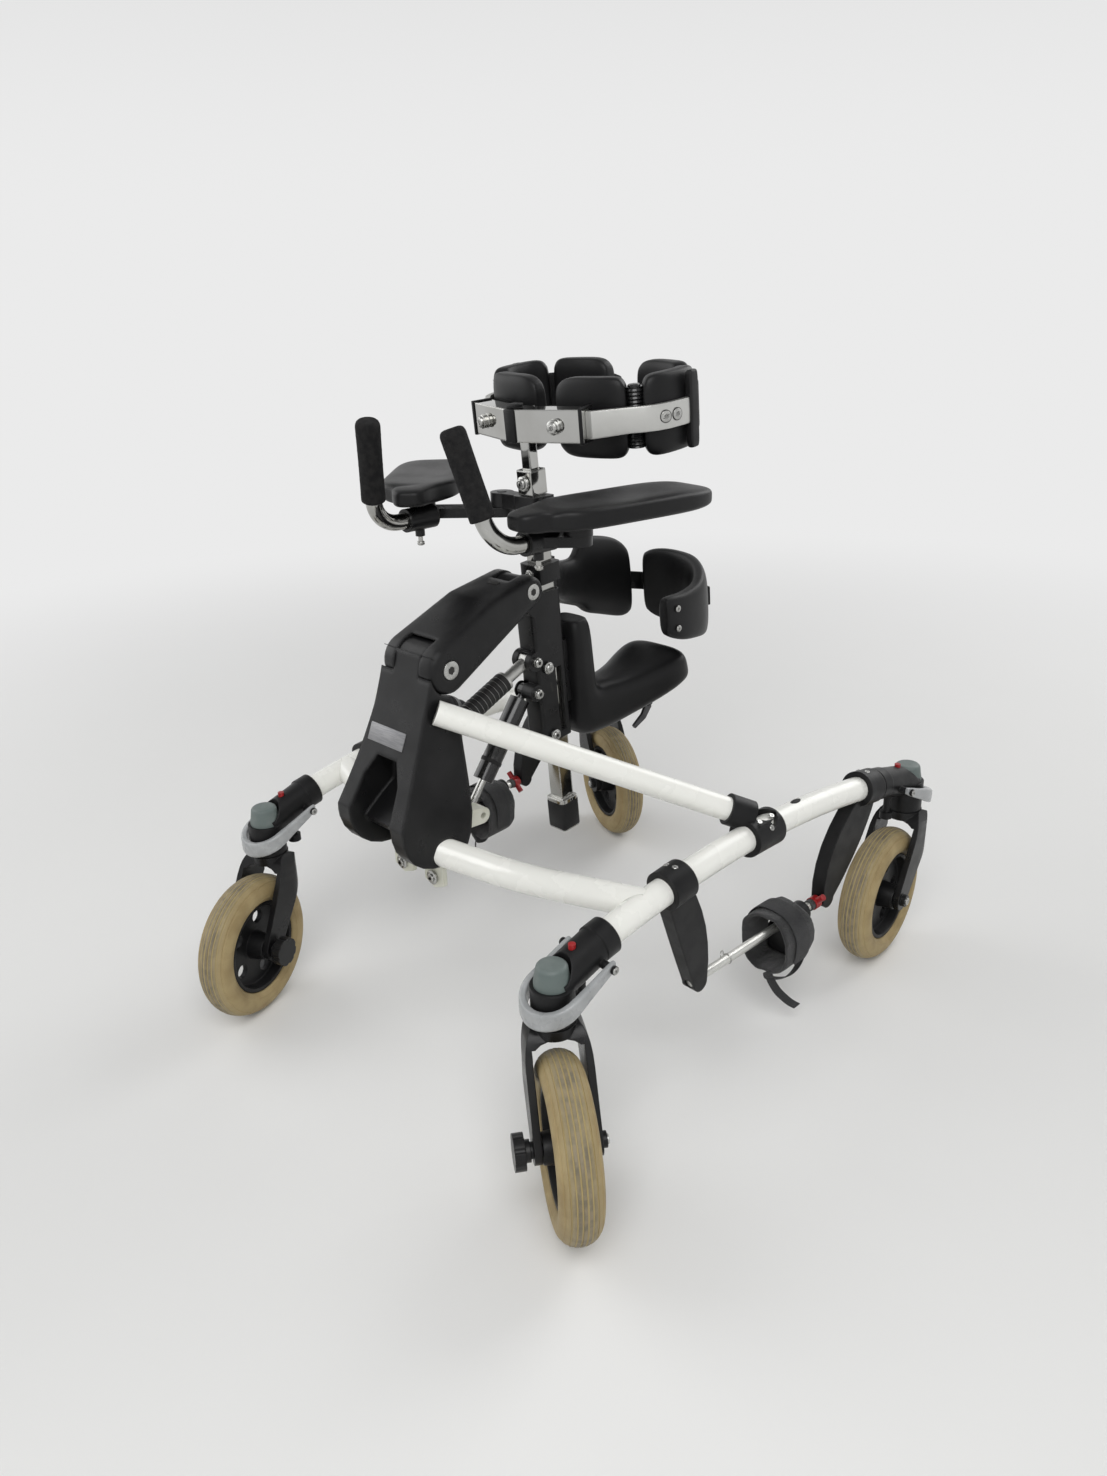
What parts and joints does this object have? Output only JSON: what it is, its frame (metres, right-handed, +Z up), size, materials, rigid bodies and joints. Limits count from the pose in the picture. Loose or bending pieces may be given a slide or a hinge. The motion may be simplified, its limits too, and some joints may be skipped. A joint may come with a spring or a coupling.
{
  "type": "gait trainer",
  "caption": "Four-caster walking frame with a sprung mast carrying a saddle, pelvic ring, forearm rests and chest ring, and ankle cuffs on side guide rods.",
  "frame": {"origin": "on the floor, in the middle of the part's box seen from above", "axes": "+X to the walker's left, +Y to the rear of the frame, +Z up"},
  "size_m": [0.7687, 0.901, 0.8552],
  "materials": {
    "frame_white": "gloss",
    "black_metal": "satin",
    "black_aluminium": "satin",
    "black_plastic": "satin",
    "grey_plastic": "matte",
    "grey_alloy": "satin",
    "red_plastic": "gloss",
    "tan_tyre": "matte",
    "chrome_tube": "polished",
    "steel": "satin",
    "black_vinyl": "satin",
    "cuff_cloth": "matte",
    "foam": "matte"
  },
  "bodies": {
    "frame": {"side_rails": "frame_white", "cross_tubes": "frame_white", "rail_fittings": "black_plastic", "caster_arms": "black_plastic", "caster_caps": "grey_plastic", "tower_cover": "black_plastic", "tower_bracket": "frame_white", "guide_rods": "chrome_tube", "rod_knobs": "red_plastic", "frame_screws": "steel"},
    "caster_front_left": {"fork_front_left": "black_plastic"},
    "wheel_front_left": {"tyre_front_left": "tan_tyre", "rim_front_left": "black_plastic"},
    "bail_front_left": {"bail_front_left": "grey_alloy"},
    "button_front_left": {"button_front_left": "red_plastic"},
    "caster_front_right": {"fork_front_right": "black_plastic"},
    "wheel_front_right": {"tyre_front_right": "tan_tyre", "rim_front_right": "black_plastic"},
    "bail_front_right": {"bail_front_right": "grey_alloy"},
    "button_front_right": {"button_front_right": "red_plastic"},
    "caster_rear_left": {"fork_rear_left": "black_plastic"},
    "wheel_rear_left": {"tyre_rear_left": "tan_tyre", "rim_rear_left": "black_plastic"},
    "bail_rear_left": {"bail_rear_left": "grey_alloy"},
    "button_rear_left": {"button_rear_left": "red_plastic"},
    "caster_rear_right": {"fork_rear_right": "black_plastic"},
    "wheel_rear_right": {"tyre_rear_right": "tan_tyre", "rim_rear_right": "black_plastic"},
    "bail_rear_right": {"bail_rear_right": "grey_alloy"},
    "button_rear_right": {"button_rear_right": "red_plastic"},
    "upper_arm": {"upper_arm": "black_plastic"},
    "lower_link": {"lower_link": "steel"},
    "gas_rod": {"gas_rod": "chrome_tube"},
    "gas_cylinder": {"gas_cylinder": "black_metal"},
    "seat_post": {"seat_post": "chrome_tube"},
    "seat_lever": {"seat_lever": "steel"},
    "arm_crossbar": {"arm_crossbar": "black_aluminium"},
    "chest_post": {"chest_post": "chrome_tube"},
    "mast": {"mast": "black_aluminium", "mast_bolts": "steel"},
    "saddle": {"saddle": "black_vinyl", "saddle_bracket": "black_plastic"},
    "pelvic_support": {"pelvic_strap": "black_plastic", "pelvic_pads": "black_vinyl"},
    "arm_carrier_left": {"arm_carrier_left": "black_aluminium"},
    "forearm_rest_left": {"forearm_pad_left": "black_vinyl"},
    "handle_left": {"handle_left": "chrome_tube", "grip_left": "foam"},
    "chest_side_left": {"chest_bar_left": "grey_alloy", "chest_pad_left": "black_vinyl"},
    "chest_front_left": {"chest_front_pad_left": "black_vinyl"},
    "ankle_cuff_left": {"ankle_cuff_left": "cuff_cloth"},
    "arm_carrier_right": {"arm_carrier_right": "black_aluminium"},
    "forearm_rest_right": {"forearm_pad_right": "black_vinyl"},
    "handle_right": {"handle_right": "chrome_tube", "grip_right": "foam"},
    "chest_side_right": {"chest_bar_right": "grey_alloy", "chest_pad_right": "black_vinyl"},
    "chest_front_right": {"chest_front_pad_right": "black_vinyl"},
    "ankle_cuff_right": {"ankle_cuff_right": "cuff_cloth"}
  },
  "joints": [
    {"name": "swivel_front_left", "type": "hinge", "parent": "frame", "child": "caster_front_left", "pos_m": [0.24603, -0.29743, 0.239], "axis": [0, 0, 1], "continuous": true},
    {"name": "spin_front_left", "type": "hinge", "parent": "caster_front_left", "child": "wheel_front_left", "pos_m": [0.29763, -0.33356, 0.1], "axis": [0.5736, 0.8192, 0], "continuous": true},
    {"name": "bail_lift_front_left", "type": "hinge", "parent": "frame", "child": "bail_front_left", "pos_m": [0.24792, -0.24346, 0.27], "axis": [-0.9994, 0.0351, 0], "range_deg": [0, 16]},
    {"name": "button_press_front_left", "type": "slide", "parent": "frame", "child": "button_front_left", "axis": [0, 0, -1], "range_m": [0, 0.003], "stiffness_N_per_m": 300, "springref_m": -0.003},
    {"name": "swivel_front_right", "type": "hinge", "parent": "frame", "child": "caster_front_right", "pos_m": [-0.31997, -0.29743, 0.239], "axis": [0, 0, 1], "continuous": true},
    {"name": "spin_front_right", "type": "hinge", "parent": "caster_front_right", "child": "wheel_front_right", "pos_m": [-0.29637, -0.35584, 0.1], "axis": [0.9272, 0.3746, 0], "continuous": true},
    {"name": "bail_lift_front_right", "type": "hinge", "parent": "frame", "child": "bail_front_right", "pos_m": [-0.32187, -0.24346, 0.27], "axis": [-0.9994, -0.0351, 0], "range_deg": [0, 16]},
    {"name": "button_press_front_right", "type": "slide", "parent": "frame", "child": "button_front_right", "axis": [0, 0, -1], "range_m": [0, 0.003], "stiffness_N_per_m": 300, "springref_m": -0.003},
    {"name": "swivel_rear_left", "type": "hinge", "parent": "frame", "child": "caster_rear_left", "pos_m": [0.27103, 0.41357, 0.239], "axis": [0, 0, 1], "continuous": true},
    {"name": "spin_rear_left", "type": "hinge", "parent": "caster_rear_left", "child": "wheel_rear_left", "pos_m": [0.27652, 0.35081, 0.1], "axis": [0.9962, 0.0872, 0], "continuous": true},
    {"name": "bail_lift_rear_left", "type": "hinge", "parent": "frame", "child": "bail_rear_left", "pos_m": [0.26913, 0.35961, 0.27], "axis": [0.9994, -0.0351, 0], "range_deg": [0, 16]},
    {"name": "button_press_rear_left", "type": "slide", "parent": "frame", "child": "button_rear_left", "axis": [0, 0, -1], "range_m": [0, 0.003], "stiffness_N_per_m": 300, "springref_m": -0.003},
    {"name": "swivel_rear_right", "type": "hinge", "parent": "frame", "child": "caster_rear_right", "pos_m": [-0.34497, 0.41357, 0.239], "axis": [0, 0, 1], "continuous": true},
    {"name": "spin_rear_right", "type": "hinge", "parent": "caster_rear_right", "child": "wheel_rear_right", "pos_m": [-0.28742, 0.38795, 0.1], "axis": [0.4067, 0.9135, 0], "continuous": true},
    {"name": "bail_lift_rear_right", "type": "hinge", "parent": "frame", "child": "bail_rear_right", "pos_m": [-0.34308, 0.35961, 0.27], "axis": [0.9994, 0.0351, 0], "range_deg": [0, 16]},
    {"name": "button_press_rear_right", "type": "slide", "parent": "frame", "child": "button_rear_right", "axis": [0, 0, -1], "range_m": [0, 0.003], "stiffness_N_per_m": 300, "springref_m": -0.003},
    {"name": "suspension", "type": "hinge", "parent": "frame", "child": "upper_arm", "pos_m": [-0.03697, -0.21343, 0.536], "axis": [-1, 0, 0], "range_deg": [0, 20], "stiffness_Nm_per_rad": 40, "springref_deg": -57.3},
    {"name": "mast_level", "type": "hinge", "parent": "upper_arm", "child": "mast", "pos_m": [-0.03697, -0.06843, 0.597], "axis": [-1, 0, 0], "range_deg": [-20.5, 0.5]},
    {"name": "lower_link_turn", "type": "hinge", "parent": "frame", "child": "lower_link", "pos_m": [-0.03697, -0.19343, 0.436], "axis": [-1, 0, 0], "range_deg": [-0.5, 20.5]},
    {"name": "gas_spring_turn", "type": "hinge", "parent": "frame", "child": "gas_rod", "pos_m": [-0.04597, -0.15443, 0.318], "axis": [-1, 0, 0], "range_deg": [-0.5, 17.5]},
    {"name": "gas_spring_stroke", "type": "slide", "parent": "gas_rod", "child": "gas_cylinder", "axis": [0, -0.6147, -0.7887], "range_m": [-0.0005, 0.029]},
    {"name": "post_height", "type": "slide", "parent": "mast", "child": "seat_post", "axis": [0, -0.0837, 0.9965], "range_m": [0, 0.09]},
    {"name": "saddle_height", "type": "slide", "parent": "mast", "child": "saddle", "axis": [0, -0.0837, 0.9965], "range_m": [-0.04, 0.004]},
    {"name": "seat_lever_turn", "type": "hinge", "parent": "saddle", "child": "seat_lever", "pos_m": [-0.01897, 0.16993, 0.3818], "axis": [1, 0, 0], "range_deg": [0, 20]},
    {"name": "pelvic_height", "type": "slide", "parent": "seat_post", "child": "pelvic_support", "axis": [0, -0.0837, 0.9965], "range_m": [0, 0.05]},
    {"name": "crossbar_height", "type": "slide", "parent": "seat_post", "child": "arm_crossbar", "axis": [0, -0.0837, 0.9965], "range_m": [-0.05, 0]},
    {"name": "chest_height", "type": "slide", "parent": "seat_post", "child": "chest_post", "axis": [0, -0.0837, 0.9965], "range_m": [-0.01, 0.08]},
    {"name": "arm_swing_left", "type": "hinge", "parent": "arm_crossbar", "child": "arm_carrier_left", "pos_m": [0.02103, -0.02694, 0.695], "axis": [0, 0, 1], "range_deg": [-8, 25]},
    {"name": "rest_swing_left", "type": "hinge", "parent": "arm_carrier_left", "child": "forearm_rest_left", "pos_m": [0.10103, -0.09294, 0.695], "axis": [0, 0, -1], "range_deg": [-9, 40]},
    {"name": "handle_reach_left", "type": "slide", "parent": "arm_carrier_left", "child": "handle_left", "axis": [0, -1, 0], "range_m": [0, 0.03]},
    {"name": "chest_width_left", "type": "slide", "parent": "chest_post", "child": "chest_side_left", "axis": [0.9613, 0.2747, 0.0231], "range_m": [-0.006, 0.03]},
    {"name": "chest_front_swing_left", "type": "hinge", "parent": "chest_side_left", "child": "chest_front_left", "pos_m": [0.07649, 0.03329, 0.79896], "axis": [0, 0.0837, -0.9965], "range_deg": [0, 40]},
    {"name": "cuff_slide_left", "type": "slide", "parent": "frame", "child": "ankle_cuff_left", "axis": [0.0351, 0.9994, 0], "range_m": [-0.13, 0.004]},
    {"name": "arm_swing_right", "type": "hinge", "parent": "arm_crossbar", "child": "arm_carrier_right", "pos_m": [-0.09497, -0.02694, 0.695], "axis": [0, 0, -1], "range_deg": [-8, 25]},
    {"name": "rest_swing_right", "type": "hinge", "parent": "arm_carrier_right", "child": "forearm_rest_right", "pos_m": [-0.17497, -0.09294, 0.695], "axis": [0, 0, 1], "range_deg": [-40, 7]},
    {"name": "handle_reach_right", "type": "slide", "parent": "arm_carrier_right", "child": "handle_right", "axis": [0, -1, 0], "range_m": [0, 0.03]},
    {"name": "chest_width_right", "type": "slide", "parent": "chest_post", "child": "chest_side_right", "axis": [-0.9613, 0.2747, 0.0231], "range_m": [-0.006, 0.03]},
    {"name": "chest_front_swing_right", "type": "hinge", "parent": "chest_side_right", "child": "chest_front_right", "pos_m": [-0.15044, 0.03329, 0.79896], "axis": [0, -0.0837, 0.9965], "range_deg": [0, 40]},
    {"name": "cuff_slide_right", "type": "slide", "parent": "frame", "child": "ankle_cuff_right", "axis": [-0.0351, 0.9994, 0], "range_m": [-0.13, 0.004]}
  ],
  "couplings": [
    {"joint": "mast_level", "follows": "suspension", "ratio": -1},
    {"joint": "lower_link_turn", "follows": "suspension", "ratio": 1},
    {"joint": "gas_spring_turn", "follows": "suspension", "ratio": 0.852},
    {"joint": "gas_spring_stroke", "follows": "suspension", "m_per_rad": 0.0808}
  ]
}
